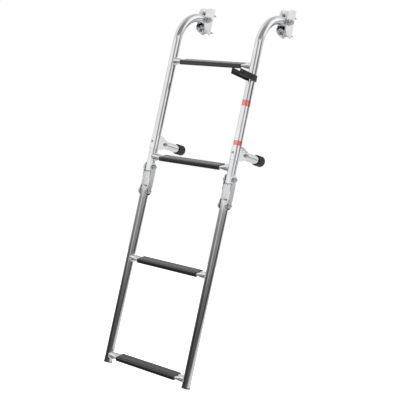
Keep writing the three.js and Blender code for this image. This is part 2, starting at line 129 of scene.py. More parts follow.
class Finish(Graph):
    """A material, whose constants are set directly on its Principled shader's sockets."""

    def __init__(self, name, **sockets):
        self.material = bpy.data.materials.new(name)
        self.material.use_nodes = True
        super().__init__(self.material.node_tree)
        self.shader = self.tree.nodes["Principled BSDF"]
        for socket, value in sockets.items():
            self.shader.inputs[socket.replace("_", " ")].default_value = value

    def place(self, stretch=(1, 1, 1)):
        """Where the surface is, in the piece's own metres."""
        here = self.add("ShaderNodeTexCoord").outputs["Object"]
        return self.add("ShaderNodeMapping", {"Vector": here, "Scale": stretch}).outputs["Vector"]

    def noise(self, scale, detail=3.0, stretch=(1, 1, 1)):
        """Noise that is drawn out along an axis whose stretch is below 1."""
        inputs = {"Vector": self.place(stretch), "Scale": scale, "Detail": detail}
        return self.add("ShaderNodeTexNoise", inputs).outputs["Fac"]

    def tint(self, noise, dark, light, spread=SPREAD):
        """A colour that goes from dark to light over the middle of a noise."""
        node = self.add("ShaderNodeValToRGB", {"Fac": noise})
        for element, way, colour in zip(node.color_ramp.elements, (-1, 1), (dark, light)):
            element.position = 0.5 + way * spread
            element.color = colour
        return node.outputs["Color"]

    def gloss(self, noise, low, high):
        """A roughness that goes from low to high over the middle of a noise."""
        self.link(self.step(noise, 0.5 - SPREAD, 0.5 + SPREAD, low, high), "Roughness")

    def bump(self, height, distance, strength):
        inputs = {"Height": height, "Distance": distance, "Strength": strength}
        self.link(self.add("ShaderNodeBump", inputs).outputs["Normal"], "Normal")

    def link(self, output, socket):
        self.tree.links.new(output, self.shader.inputs[socket])


def polished_metal(name, colour, rough, smudge, brush, stretch):
    """Polished stainless: faint cloudy smudges in its gloss and fine polishing lines."""
    dull, smudge_share = 0.93, 0.6
    line_depth, line_strength = 0.01 * MM, 0.06
    m = Finish(name, Metallic=1.0)
    clouds = m.noise(smudge)
    lines = m.noise(brush, detail=4.0, stretch=stretch)
    m.link(m.tint(clouds, tuple(c * dull for c in colour) + (1,), (*colour, 1)), "Base Color")
    m.gloss(m.blend(lines, clouds, smudge_share), *rough)
    m.bump(lines, line_depth, line_strength)
    return m.material


def moulded_plastic(name, dark, light, rough, grain, height, stretch=(1, 1, 1), coat=0.0):
    """Moulded plastic or rubber: a fine grain, slightly mottled in colour and gloss."""
    cloud_size, grain_share = 14, 0.55  # the mottling's clouds against one grain
    vary, bump_strength = 0.06, 0.6
    m = Finish(name, Specular_IOR_Level=0.5, Coat_Weight=coat, Coat_Roughness=0.12)
    fine = m.noise(grain, detail=5.0, stretch=stretch)
    mottle = m.blend(m.noise(grain / cloud_size), fine, grain_share)
    m.link(m.tint(mottle, dark, light, spread=0.12), "Base Color")
    m.gloss(mottle, rough - vary, rough + vary)
    m.bump(fine, height, bump_strength)
    return m.material


def label_film():
    """Pale glossy foil over the tube, with a red band at each end and nothing printed on it."""
    top_band, low_band, soft = 18 * MM, 13.5 * MM, 0.2 * MM
    m = Finish("label_film", Metallic=0.9, Coat_Weight=0.3, Coat_Roughness=0.05)
    height = m.add("ShaderNodeSeparateXYZ", {"Vector": m.place()}).outputs["Z"]
    top_edge, low_edge = label_high.z - top_band, label_low.z + low_band
    top = m.step(height, top_edge - soft, top_edge + soft)
    bottom = m.step(height, low_edge - soft, low_edge + soft, 1.0, 0.0)
    cloud = m.noise(140.0, stretch=(1, 1, 0.25))
    pale = m.tint(cloud, (0.76, 0.78, 0.79, 1), (0.84, 0.85, 0.86, 1))
    red = m.tint(cloud, (0.78, 0.17, 0.14, 1), (0.88, 0.30, 0.26, 1))
    mix = m.add("ShaderNodeMix", data_type="RGBA")
    for key, value in {"Factor": m.math("MAXIMUM", top, bottom), "A": pale, "B": red}.items():
        # The node has a socket of each name for every data type, and only the colour's is enabled.
        socket = next(i for i in mix.inputs if i.name == key and i.enabled)
        m.tree.links.new(value, socket)
    m.link(next(o for o in mix.outputs if o.enabled), "Base Color")
    m.gloss(cloud, 0.04, 0.10)
    return m.material


STEEL = (0.80, 0.81, 0.82)
# Painted light: a lighter copy of the tubes' steel, which brightens the brackets, links, straps and weld
# beads.
PAINTED_LIGHT_STEEL = (0.86, 0.87, 0.88)
# Painted shade: a darker copy of the same steel, which darkens the bolts, nuts and screws.
PAINTED_SHADE_STEEL = (0.54, 0.55, 0.56)
METALS = {
    "polished_tube": dict(colour=STEEL, rough=(0.02, 0.06), smudge=22, brush=900, stretch=(1, 1, 0.03)),
    "polished_rung": dict(colour=STEEL, rough=(0.02, 0.06), smudge=26, brush=900, stretch=(0.03, 1, 1)),
    "polished_plate": dict(colour=PAINTED_LIGHT_STEEL, rough=(0.03, 0.08), smudge=40, brush=1200, stretch=(1, 1, 0.06)),
    "fastener": dict(colour=PAINTED_SHADE_STEEL, rough=(0.08, 0.16), smudge=180, brush=2500, stretch=(0.2, 1, 1)),
}
PLASTICS = {
    "tread_plastic": dict(
        dark=(0.006, 0.005, 0.008, 1), light=(0.011, 0.009, 0.014, 1), rough=0.14,
        grain=2600, height=0.004 * MM, stretch=(0.12, 1, 1), coat=0.6,
    ),
    "clip_plastic": dict(dark=grey(0.006), light=grey(0.012), rough=0.38, grain=2200, height=0.02 * MM),
    "rubber": dict(dark=grey(0.010), light=grey(0.020), rough=0.60, grain=1500, height=0.05 * MM),
}
MATERIALS = {name: polished_metal(name, **looks) for name, looks in METALS.items()}
MATERIALS.update({name: moulded_plastic(name, **looks) for name, looks in PLASTICS.items()})
MATERIALS["label_film"] = label_film()

# ---- Mesh making ----

SOFT_EDGE = math.radians(32)  # a sharper edge than this is shaded as an edge
FLAT_EDGE = math.radians(0.3)  # a softer edge than this lies within a plane
NEAR = 1e-6
TINY = 1e-7
POINT = 1e-5  # radius of a ring that closes an end


def make(name, bm, body, node, material):
    """Turns bm into an object that rides on a body and stands for a CAD node, if there is one."""
    bmesh.ops.triangulate(bm, faces=[f for f in bm.faces if len(f.verts) > 4])
    bmesh.ops.recalc_face_normals(bm, faces=bm.faces)
    for face in bm.faces:
        face.smooth = True
    for edge in bm.edges:
        edge.smooth = len(edge.link_faces) == 2 and edge.calc_face_angle() < SOFT_EDGE
    mesh = bpy.data.meshes.new(name)
    bm.to_mesh(mesh)
    bm.free()
    piece = bpy.data.objects.new(name, mesh)
    bpy.context.scene.collection.objects.link(piece)
    mesh.materials.append(MATERIALS[material])
    even = piece.modifiers.new("even_shading", "WEIGHTED_NORMAL")
    even.mode = "FACE_AREA"
    even.keep_sharp = True
    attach(piece, body)
    if node:
        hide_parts(node)


def round_edges(bm, width, segments=2, angle=50):
    """Rounds every edge sharper than angle."""
    limit = math.radians(angle)
    edges = [e for e in bm.edges if len(e.link_faces) == 2 and e.calc_face_angle() > limit]
    bmesh.ops.bevel(
        bm, geom=edges, offset=width, segments=segments, profile=0.5, affect="EDGES", clamp_overlap=True
    )


def move(bm, matrix):
    bmesh.ops.transform(bm, matrix=matrix, verts=bm.verts)


def circle(sides):
    """The angles of a circle's points, in radians."""
    return [2 * math.pi * i / sides for i in range(sides)]


def arc(centre, radius, start, end, steps):
    """Points of an arc in a plane; the angles are in degrees."""
    for i in range(steps + 1):
        angle = math.radians(start + (end - start) * i / steps)
        yield (centre[0] + radius * math.cos(angle), centre[1] + radius * math.sin(angle))


def loft(bm, rings, along=False):
    """Joins successive rings of points with quads; along joins the last ring to the first too."""
    rows = [[bm.verts.new(p) for p in ring] for ring in rings]
    count = len(rows[0])
    for a, b in zip(rows, rows[1:] + rows[:1] if along else rows[1:]):
        for i in range(count):
            j = (i + 1) % count
            bm.faces.new((a[i], a[j], b[j], b[i]))


def close_ends(bm):
    """Fills the open ends of a loft."""
    bmesh.ops.holes_fill(bm, edges=[e for e in bm.edges if e.is_boundary])


def turned(profile, sides=48):
    """A body of revolution about x; each point of the profile is (x, radius)."""
    bm = bmesh.new()
    rings = []
    for x, radius in profile:
        radius = max(radius, 0)
        rings.append([(x, radius * math.cos(a), radius * math.sin(a)) for a in circle(sides)])
    loft(bm, rings)
    bmesh.ops.remove_doubles(bm, verts=bm.verts, dist=NEAR)
    bmesh.ops.dissolve_degenerate(bm, edges=bm.edges, dist=TINY)
    return bm


def merge_flat(bm):
    """Joins faces that lie in one plane, so that shading and bevels stay even.

    Faces that were just bent still hold their old normals, so those are worked out first.
    """
    bm.normal_update()
    bmesh.ops.dissolve_limit(bm, angle_limit=FLAT_EDGE, verts=bm.verts[:], edges=bm.edges[:])


def plate(loops, thickness):
    """A flat plate in (x, y), with its holes, from z = 0 up to its thickness."""
    bm = bmesh.new()
    edges = []
    for loop in loops:
        ring = [bm.verts.new((p[0], p[1], 0)) for p in loop]
        edges += [bm.edges.new((a, b)) for a, b in zip(ring, ring[1:] + ring[:1])]
    bmesh.ops.triangle_fill(bm, use_beauty=True, use_dissolve=False, edges=edges)
    grown = bmesh.ops.extrude_face_region(bm, geom=list(bm.faces))
    top = [v for v in grown["geom"] if isinstance(v, bmesh.types.BMVert)]
    bmesh.ops.translate(bm, verts=top, vec=(0, 0, thickness))
    merge_flat(bm)
    return bm


def bent_sheet(loops, web, radius, thickness, steps=8):
    """A sheet cut to loops of (s, z) and folded to a channel that opens towards -y.

    s runs across the sheet from its middle: the flat web lies within web of s = 0, then a fold of
    that radius on each side leads to a cheek. The web's middle surface lies at y = 0.
    """
    bm = plate(loops, thickness)
    fold = radius * math.pi / 2
    for side in SIDES.values():
        for i in range(steps + 1):
            at = Vector((side * (web + fold * i / steps), 0, 0))
            geometry = bm.verts[:] + bm.edges[:] + bm.faces[:]
            bmesh.ops.bisect_plane(bm, geom=geometry, plane_co=at, plane_no=AXIS_X, dist=TINY)
    for vert in bm.verts:
        s, z, out = vert.co.x, vert.co.y, vert.co.z - thickness / 2
        past = max(abs(s) - web, 0)
        turn = min(past / radius, math.pi / 2)
        x = min(abs(s), web) + (radius + out) * math.sin(turn)
        y = (radius + out) * math.cos(turn) - radius - max(past - fold, 0)
        vert.co = (math.copysign(x, s), y, z)
    merge_flat(bm)
    return bm


def join(*meshes):
    """Several bmeshes as one."""
    whole = meshes[0]
    for part in meshes[1:]:
        data = bpy.data.meshes.new("part")
        part.to_mesh(data)
        part.free()
        whole.from_mesh(data)
        bpy.data.meshes.remove(data)
    return whole


# ---- Tubes ----

TUBE_SIDES = 56


def sweep(path, shape=None):
    """A side tube's section along stations of (point, tangent) in a plane of constant x.

    shape moves a vertex before the rims are softened.
    """
    rim = 0.35 * MM
    bm = bmesh.new()
    rows = []
    for radius, stations in ((TUBE, path), (TUBE - WALL, path[::-1])):
        for point, tangent in stations:
            up = tangent.cross(AXIS_X)
            ring = [point + radius * (math.cos(a) * AXIS_X + math.sin(a) * up) for a in circle(TUBE_SIDES)]
            rows.append(ring)
    loft(bm, rows, along=True)
    if shape:
        for vert in bm.verts:
            shape(vert)
    round_edges(bm, rim)
    return bm


def upper_tube_path(x):
    """Straight up from the tube's lower end, round the bend, and level to the bracket's bolt."""
    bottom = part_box("right_upper_stile")[0].z
    centre = Vector((x, STILE_Y + BEND, BOLT.z - BEND))
    path = [(Vector((x, STILE_Y, bottom)), AXIS_Z)]
    steps = 28
    for i in range(steps + 1):
        turn = math.pi / 2 * i / steps
        out = Vector((0, -math.cos(turn), math.sin(turn)))
        path.append((centre + BEND * out, Vector((0, math.sin(turn), math.cos(turn)))))
    path.append((Vector((x, BOLT.y, BOLT.z)), AXIS_Y))
    return path


def round_upper_end(vert):
    """The tube's end is rounded about the bolt, to clear the web as it turns."""
    if abs(vert.co.y - BOLT.y) < NEAR:
        height = vert.co.z - BOLT.z
        vert.co.y = BOLT.y + math.sqrt(max((TUBE + PLAY) ** 2 - height**2, 0))


def build_stiles():
    for name, side in SIDES.items():
        x = side * STILE_X
        upper = sweep(upper_tube_path(x), shape=round_upper_end)
        make(f"{name}_upper_tube", upper, "upper_section", f"{name}_upper_stile", "polished_tube")
        lower = sweep([(Vector((x, STILE_Y, z)), AXIS_Z) for z in (lower_low.z, lower_high.z)])
        make(f"{name}_lower_tube", lower, "lower_section", f"{name}_lower_stile", "polished_tube")
        build_dome(name, x)
        build_foot(name, x)


def build_dome(name, x):
    """The stopper in the lower tube's top: a plug under a domed crown."""
    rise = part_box(f"{name}_stile_dome")[1].z - lower_high.z
    depth, rim, gap = 6 * MM, 0.3 * MM, 0.1 * MM
    crown = [(rim + (rise - rim) * s, (TUBE - gap) * c) for c, s in arc(ORIGIN, 1, 0, 90, 12)]
    bm = turned([(-depth, 0), (-depth, PLUG), (rim - gap, PLUG), (rim - gap, TUBE), *crown])
    move(bm, Matrix.Translation((x, STILE_Y, lower_high.z)) @ X_TO_Z)
    make(f"{name}_domed_stopper", bm, "lower_section", f"{name}_stile_dome", "polished_tube")


def build_foot(name, x):
    """The rubber plug in the lower tube's foot: a rounded flange and a plug with a chamfered top."""
    low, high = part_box(f"{name}_foot_plug")
    flange = (high.x - low.x) / 2
    low_edge, top_edge, chamfer = 1.1 * MM, 0.5 * MM, 1 * MM
    base, top, tip = low.z - lower_low.z, -PLAY, high.z - lower_low.z
    profile = [
        (base, 0),
        (base, flange - low_edge),
        *[(z, r) for r, z in arc((flange - low_edge, base + low_edge), low_edge, -90, 0, 5)],
        *[(z, r) for r, z in arc((flange - top_edge, top - top_edge), top_edge, 0, 90, 4)],
        (top, PLUG),
        (tip - chamfer, PLUG),
        (tip, PLUG - chamfer),
        (tip, 0),
    ]
    bm = turned(profile, TUBE_SIDES)
    move(bm, Matrix.Translation((x, STILE_Y, lower_low.z)) @ X_TO_Z)
    make(f"{name}_foot_cap", bm, "lower_section", f"{name}_foot_plug", "rubber")


# ---- Rungs and treads ----

RUNG_SIDES = 64
FLAT_TO = 113 * MM  # out to here the rung is flat, and from ROUND_FROM on it is round
ROUND_FROM = 139 * MM
FLAT_HALF = (15 * MM, 4.2 * MM)  # half the flat's width and thickness
# How far out the crease in the flare starts, is full, starts to ease off and ends.
CREASE = {"start": 112 * MM, "full": 122 * MM, "ease": 126 * MM, "end": 140 * MM}
CREASE_HALF, CREASE_DEEP = 4 * MM, 0.28
GROOVES = {"count": 5, "pitch": 5.2 * MM, "half": 0.75 * MM, "deep": 0.9 * MM, "edge": 0.25 * MM, "foot": 0.7}
# The raised front edge: where it ends, its height over the deck, and the groove behind it.
NOSING = {"end": -13.9 * MM, "rise": 0.5 * MM, "deep": 1.5 * MM, "slope": 0.5 * MM, "floor": 1.4 * MM}
STEP_BODIES = {
    "top": "upper_section",
    "second": "upper_section",
    "third": "lower_section",
    "bottom": "lower_section",
}


def smooth(value, low, high):
    t = min(max((value - low) / (high - low), 0), 1)
    return t * t * (3 - 2 * t)


def rung_point(x, angle, inset):
    """A point of the rung's skin: round at the ends, pressed to a flat oval in the middle.

    A crease runs along the top and bottom of the flare between the two.
    """
    squareness = 5
    press = 1 - smooth(abs(x), FLAT_TO, ROUND_FROM)
    radius = RUNG - inset
    half = FLAT_HALF[1] - inset
    cosine = math.cos(angle)
    straight_part = (FLAT_HALF[0] - FLAT_HALF[1]) * math.tanh(squareness * cosine)
    u = radius * cosine * (1 - press) + (straight_part + half * cosine) * press
    v = (radius * (1 - press) + half * press) * math.sin(angle)
    crease = smooth(abs(x), CREASE["start"], CREASE["full"])
    crease *= 1 - smooth(abs(x), CREASE["ease"], CREASE["end"])
    v *= 1 - CREASE_DEEP * crease * math.exp(-((u / CREASE_HALF) ** 2))
    y = u * math.cos(TREAD_TILT) - v * math.sin(TREAD_TILT) + press * TREAD_SHIFT.y
    z = u * math.sin(TREAD_TILT) + v * math.cos(TREAD_TILT) + press * TREAD_SHIFT.z
    return x, y, z


def rung_mesh(place):
    """A hollow rung whose ends are cut to the side tubes' round."""
    wall, steps = 1.2 * MM, 14
    end = STILE_X - TUBE
    flare = [FLAT_TO + (ROUND_FROM - FLAT_TO) * i / steps for i in range(steps + 1)]
    stations = [0, 60 * MM, *flare, end]
    stations = [-x for x in reversed(stations[1:])] + stations
    outer = [[rung_point(x, a, 0) for a in circle(RUNG_SIDES)] for x in stations]
    inner = [[rung_point(x, a, wall) for a in circle(RUNG_SIDES)] for x in reversed(stations)]
    bm = bmesh.new()
    loft(bm, outer + inner, along=True)
    for vert in bm.verts:
        if abs(vert.co.x) > end - NEAR:
            skin = STILE_X - math.sqrt((TUBE - PLAY) ** 2 - vert.co.y**2)
            vert.co.x = math.copysign(skin, vert.co.x)
    move(bm, Matrix.Translation(place))
    return bm


def weld_bead(place, side):
    """The fillet of weld where a rung's round end meets the side tube."""
    bead, ripple, waves, sides = 1.3 * MM, 0.10, 15, 8
    section = [*arc(ORIGIN, 1, 0, 360 - 360 / sides, sides - 1)]
    rings = []
    for a in circle(RUNG_SIDES):
        size = bead * (1 + ripple * math.sin(waves * a))
        out = Vector((0, math.cos(a), math.sin(a)))
        skin = STILE_X - math.sqrt(TUBE**2 - (RUNG * math.cos(a)) ** 2)
        centre = Vector((skin, 0, 0)) + RUNG * out
        ring = []
        for c, s in section:
            ring.append(place + Vector((side * (centre.x + size * s), *(centre + size * c * out).yz)))
        rings.append(ring)
    bm = bmesh.new()
    loft(bm, rings, along=True)
    return bm


def groove(centre, deck):
    """One groove of the tread's top, from its back edge to its front edge."""
    half, edge = GROOVES["half"], GROOVES["edge"]
    foot, floor = half * GROOVES["foot"], deck - GROOVES["deep"]
    back = [(centre + half + edge, deck), (centre + half, deck - edge), (centre + foot, floor)]
    return back + [(2 * centre - x, z) for x, z in reversed(back)]


def tread_outline():
    """The tread's section in (depth, height): a grooved top, a nosing and a gripping C below."""
    half, corner, mouth = 18 * MM, 4.2 * MM, 9 * MM
    top, bottom = 6.4 * MM, -8 * MM
    back_slope, lip, play, shift = 0.8 * MM, 0.8 * MM, 0.3 * MM, 0.6 * MM
    bore = FLAT_HALF[1] + play
    inside = FLAT_HALF[0] + play - bore
    deck = top - NOSING["rise"]
    points = [*arc((mouth + lip, bottom + lip), lip, 180, 270, 4)]
    points += arc((half - corner, bottom + corner), corner, -90, 0, 7)
    points += arc((half - corner, top - corner), corner, 0, 90, 7)
    points.append((half - corner - back_slope, deck))
    for i in reversed(range(GROOVES["count"])):
        points += groove((i - (GROOVES["count"] - 1) / 2) * GROOVES["pitch"] + shift, deck)
    front, valley = NOSING["end"] + NOSING["slope"], deck - NOSING["deep"]
    back = front + NOSING["floor"]
    points += [(back + NOSING["slope"], deck), (back, valley), (front, valley)]
    points.append((NOSING["end"], top - GROOVES["edge"]))
    points += arc((corner - half, top - corner), corner, 90, 180, 8)
    points += arc((corner - half, bottom + corner), corner, 180, 270, 7)
    points += arc((-mouth - lip, bottom + lip), lip, 270, 360, 4)
    points += arc((-inside, 0), bore, -90, -270, 8)
    points += arc((inside, 0), bore, 90, -90, 8)
    return points


def rung_z(name):
    """The height of a rung's axis, from the box of its round ends."""
    low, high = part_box(f"{name}_rung")
    return (low.z + high.z) / 2


def tread_mesh(name):
    low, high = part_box(f"{name}_tread")
    bm = plate([tread_outline()], high.x - low.x)
    round_edges(bm, 0.5 * MM, angle=60)
    along_x = Matrix(((0, 0, 1, 0), (1, 0, 0, 0), (0, 1, 0, 0), (0, 0, 0, 1)))
    place = Vector((low.x, STILE_Y, rung_z(name))) + TREAD_SHIFT
    move(bm, Matrix.Translation(place) @ Matrix.Rotation(TREAD_TILT, 4, "X") @ along_x)
    return bm


def build_steps():
    for name, body in STEP_BODIES.items():
        place = Vector((0, STILE_Y, rung_z(name)))
        make(f"{name}_pressed_rung", rung_mesh(place), body, f"{name}_rung", "polished_rung")
        beads = join(weld_bead(place, -1), weld_bead(place, 1))
        make(f"{name}_weld_beads", beads, body, None, "polished_plate")
        make(f"{name}_ribbed_tread", tread_mesh(name), body, f"{name}_tread", "tread_plastic")


# ---- Bolts and nuts, along x with the head on the left ----

# body, axis, half the hexagon across its corners, height of the cap nut's hexagon
BOLT_SETS = {
    "bracket": ("hull_brackets", BOLT, 9.8 * MM, 8 * MM),
    "upper_hinge": ("hinge_links", UPPER_PIVOT, 7.5 * MM, 5.5 * MM),
    "lower_hinge": ("hinge_links", LOWER_PIVOT, 7.5 * MM, 5.5 * MM),
    "standoff": ("upper_section", STANDOFF, 5.77 * MM, 4.5 * MM),
}
# Shares of the hexagon's half across corners, but for the head's height and the dome's radius,
# which are shares of its width and half width across flats.
SHANK, WASHER, WASHER_THICK = 0.4, 1.05, 0.14
HEAD_HEIGHT, NUT_DOME = 0.375, 0.92
BOLT_CHAMFER, NUT_CHAMFER = 1.0 * MM, 0.9 * MM


def flat_of(corner):
    """Half a hexagon across its flats, from half across its corners."""
    return corner * math.cos(math.pi / 6)


def hexagon(corner, low, high, chamfer):
    """A hexagon along x whose corners are turned down at both ends."""
    per_side = 6
    flat = flat_of(corner)
    face = flat * 0.96
    turned_down = ((flat * 1.02, 0.25), (flat * 1.08, 0.6), (corner, 1.0))  # limit, share of the chamfer

    def ring(x, limit):
        points = []
        for a in circle(6 * per_side):
            local = (a + math.pi / 6) % (math.pi / 3) - math.pi / 6
            radius = min(flat / math.cos(local), limit)
            points.append((x, radius * math.cos(a), radius * math.sin(a)))
        return points

    rings = [ring(low, POINT), ring(low, face)]
    rings += [ring(low + chamfer * inset, limit) for limit, inset in turned_down]
    rings += [ring(high - chamfer * inset, limit) for limit, inset in reversed(turned_down)]
    rings += [ring(high, face), ring(high, POINT)]
    bm = bmesh.new()
    loft(bm, rings)
    bmesh.ops.remove_doubles(bm, verts=bm.verts, dist=3 * POINT)
    return bm


def rod(low, high, radius, sides=48):
    return turned([(low, 0), (low, radius), (high, radius), (high, 0)], sides)


def washer(low, thickness, corner):
    bm = rod(low, low + thickness, corner * WASHER)
    round_edges(bm, thickness / 4)
    return bm


def build_bolt(name, body, axis, corner, node):
    """A hex bolt with a washer under its head, in the place of its CAD node."""
    low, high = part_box(node)
    thick, sunk = WASHER_THICK * corner, 1 * MM
    seat = low.x + HEAD_HEIGHT * 2 * flat_of(corner)
    head = hexagon(corner, low.x, seat - thick, BOLT_CHAMFER)
    bm = join(head, washer(seat - thick, thick, corner), rod(seat - sunk, high.x, SHANK * corner, 24))
    move(bm, Matrix.Translation((0, axis.y, axis.z)))
    make(name, bm, body, node, "fastener")


def build_cap_nut(name, body, axis, corner, hex_height, node):
    """A cap nut with a washer under it and a dome on it, in the place of its CAD node."""
    low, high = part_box(node)
    thick, sunk = WASHER_THICK * corner, 0.3 * MM
    dome = flat_of(corner) * NUT_DOME
    start = low.x + hex_height - sunk
    crown = [(start + (high.x - start) * s, dome * c) for c, s in arc(ORIGIN, 1, 0, 90, 14)]
    nut = hexagon(corner, low.x + thick, low.x + hex_height, NUT_CHAMFER)
    bm = join(nut, turned([(start, 0), *crown]), washer(low.x, thick, corner))
    move(bm, Matrix.Translation((0, axis.y, axis.z)))
    make(name, bm, body, node, "fastener")


def build_fasteners():
    for side in SIDES:
        for place, (body, axis, corner, hex_height) in BOLT_SETS.items():
            name = f"{side}_{place}"
            build_bolt(f"{name}_hex_bolt", body, axis, corner, f"{name}_bolt")
            build_cap_nut(f"{name}_cap_nut", body, axis, corner, hex_height, f"{name}_nut")


# ---- Screws ----

SCREW_SIZES = {
    "self_tapper": dict(head=4 * MM, core=2.3 * MM, crest=3 * MM, pitch=2.6 * MM, taper=9 * MM, sides=24),
    "strap_screw": dict(head=2.6 * MM, core=2 * MM, crest=2.5 * MM, pitch=1 * MM, taper=2 * MM, sides=20),
}


def thread(length, core, crest, pitch, taper, sides):
    """A helical thread along x that runs out to a point."""
    rings_per_turn, ridge_half = 6, 0.32
    steps = round(length / pitch * rings_per_turn)
    rings = []
    for k in range(steps + 1):
        x = length * k / steps
        point = min(1, (length - x) / taper)
        ring = []
        for angle in circle(sides):
            phase = (x / pitch - angle / (2 * math.pi)) % 1
            ridge = max(0, 1 - abs(phase - 0.5) / ridge_half)
            radius = (core + (crest - core) * ridge * min(1, point * 2)) * point
            radius = max(radius, POINT)
            ring.append((x, radius * math.cos(angle), radius * math.sin(angle)))
        rings.append(ring)
    bm = bmesh.new()
    loft(bm, rings)
    close_ends(bm)
    return bm


def pan_head(radius, height):
    """A pan head along x with its crown at the low end, and a cross recess."""
    rim = 0.25 * MM
    profile = [(-height + height * (1 - s), radius * c) for c, s in arc(ORIGIN, 1, 90, 0, 12)]
    bm = turned([*profile, (-rim, radius), (0, radius - rim), (0, 0)], 40)
    arm, wide, crotch = radius * 0.52, radius * 0.13, radius * 0.13 * 1.6
    sunk, foot = 0.35, 0.55  # where the recess starts in the head, and its floor against its mouth
    cross = []
    for quarter in range(4):
        turn = Matrix.Rotation(math.pi / 2 * quarter, 2)
        cross += [turn @ Vector(point) for point in ((arm, -wide), (arm, wide), (crotch, crotch))]
    tool = plate([cross], height)
    for vert in tool.verts:
        if vert.co.z < height / 2:
            vert.co.xy *= foot
    return carve(bm, tool, Matrix.Translation((-sunk * height, 0, 0)) @ X_TO_Z)


def carve(bm, tool, place):
    """bm with tool cut out of it."""
    move(tool, place)
    objects = []
    for name, source in (("carved", bm), ("tool", tool)):
        bmesh.ops.recalc_face_normals(source, faces=source.faces)
        data = bpy.data.meshes.new(name)
        source.to_mesh(data)
        source.free()
        item = bpy.data.objects.new(name, data)
        bpy.context.scene.collection.objects.link(item)
        objects.append(item)
    body, cutter = objects
    modifier = body.modifiers.new("cut", "BOOLEAN")
    modifier.operation = "DIFFERENCE"
    modifier.solver = "EXACT"
    modifier.object = cutter
    graph = bpy.context.evaluated_depsgraph_get()
    result = bmesh.new()
    result.from_mesh(body.evaluated_get(graph).to_mesh())
    for item in objects:
        data = item.data
        bpy.data.objects.remove(item)
        bpy.data.meshes.remove(data)
    return result


def build_screw(name, body, node, head, **sizes):
    """A pan-head screw that points into the hull, in the place of its CAD node."""
    low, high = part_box(node)
    shank = thread(high.y - low.y - head, **sizes)
    bm = join(pan_head((high.x - low.x) / 2, head), shank)
    centre = (low + high) / 2
    move(bm, Matrix.Translation((centre.x, low.y + head, centre.z)) @ X_TO_Y)
    make(name, bm, body, node, "fastener")


# ---- Hull brackets and hinge links ----


def sheet_s(depth, web, radius):
    """How far round the sheet from its middle a point at that depth on the cheek is."""
    return web + radius * math.pi / 2 + depth - radius


def settle(bm, low, high, thickness):
    """Moves a folded sheet to where the CAD node's back and middle are."""
    centre = (low + high) / 2
    move(bm, Matrix.Translation((centre.x, high.y - thickness / 2, centre.z)))


def bracket_loops(web, radius, thickness, half):
    """The bracket's flat shape: round shoulders, a notch in each edge of the web, two screw holes."""
    depth = 41 * MM - thickness / 2
    corner, shoulder = 20 * MM, 3 * MM
    notch_radius, notch_depth = 12 * MM, 6 * MM
    hole, hole_z, sides = 3.4 * MM, 28 * MM, 24
    reach = sheet_s(depth, web, radius)
    back = sheet_s(radius, web, radius)
    quarter = [*arc((reach - corner, half - shoulder - corner), corner, 0, 90, 12)]
    notch_z = half + notch_radius - notch_depth
    opening = math.degrees(math.acos((notch_z - half) / notch_radius))
    notch = [*arc((0, notch_z), notch_radius, 270 + opening, 270 - opening, 12)]
    loop = quarter + [(back, half)] + notch + [(-back, half)] + [(-s, z) for s, z in reversed(quarter)]
    loop += [(s, -z) for s, z in reversed(loop)]
    return [loop, *[[*arc((0, z), hole, 360, 360 / sides, sides - 1)] for z in (hole_z, -hole_z)]]


def build_brackets():
    thickness, radius = 3 * MM, 3 * MM
    for name in SIDES:
        low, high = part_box(f"{name}_hull_bracket")
        web = (high.x - low.x - thickness) / 2 - radius
        loops = bracket_loops(web, radius, thickness, (high.z - low.z) / 2)
        bm = bent_sheet(loops, web, radius, thickness)
        settle(bm, low, high, thickness)
        round_edges(bm, 0.5 * MM, angle=60)
        make(f"{name}_hull_channel", bm, "hull_brackets", f"{name}_hull_bracket", "polished_plate")
        for place in ("upper", "lower"):
            screw, node = f"{name}_{place}_self_tapper", f"{name}_{place}_mounting_screw"
            build_screw(screw, "hull_brackets", node, **SCREW_SIZES["self_tapper"])


def link_loop(web, radius, thickness):
    """The link's flat shape: a round lobe on each cheek about each pivot, and a shorter web."""
    lobe, front = 13.5 * MM, 8 * MM
    half = (UPPER_PIVOT.z - LOWER_PIVOT.z) / 2
    web_half, waist, shoulder_rise, past = 24 * MM, 20 * MM, 1 * MM, 12
    axis = 15.2 * MM - thickness / 2
    centre = sheet_s(axis, web, radius)
    back = sheet_s(radius, web, radius)
    shoulder = math.degrees(math.acos(front / lobe))
    right = [(centre + front, 0), (centre + front, waist)]
    right += [(max(s, back), z) for s, z in arc((centre, half), lobe, -90 + shoulder, 180 + past, 26)]
    right += [(back, web_half + shoulder_rise), (back - radius, web_half)]
    upper = right + [(-s, z) for s, z in reversed(right)]
    return upper[:-1] + [(s, -z) for s, z in reversed(upper)][:-1]


def build_links():
    thickness, radius = 2 * MM, 2.5 * MM
    for name in SIDES:
        low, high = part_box(f"{name}_hinge_link")
        web = (high.x - low.x - thickness) / 2 - radius
        bm = bent_sheet([link_loop(web, radius, thickness)], web, radius, thickness)
        settle(bm, low, high, thickness)
        round_edges(bm, 0.45 * MM, angle=60)
        make(f"{name}_link_channel", bm, "hinge_links", f"{name}_hinge_link", "polished_plate")


# ---- Standoffs ----


def strap_loop(radius, half, pivot, end):
    """The strap's flat shape: wide round the side tube, narrowing to round cheeks at the pivot."""
    fold = radius * math.pi / 2
    past_tube, corner = 3.5 * MM, 1.5 * MM
    shoulder = fold + TUBE + past_tube
    cheek = [*arc((fold + pivot, 0), end, 90, -90, 20)]
    loop = [(0, half), (shoulder - corner, half), *cheek, (shoulder - corner, -half), (0, -half)]
    return loop + [(-s, z) for s, z in reversed(loop[1:-1])]


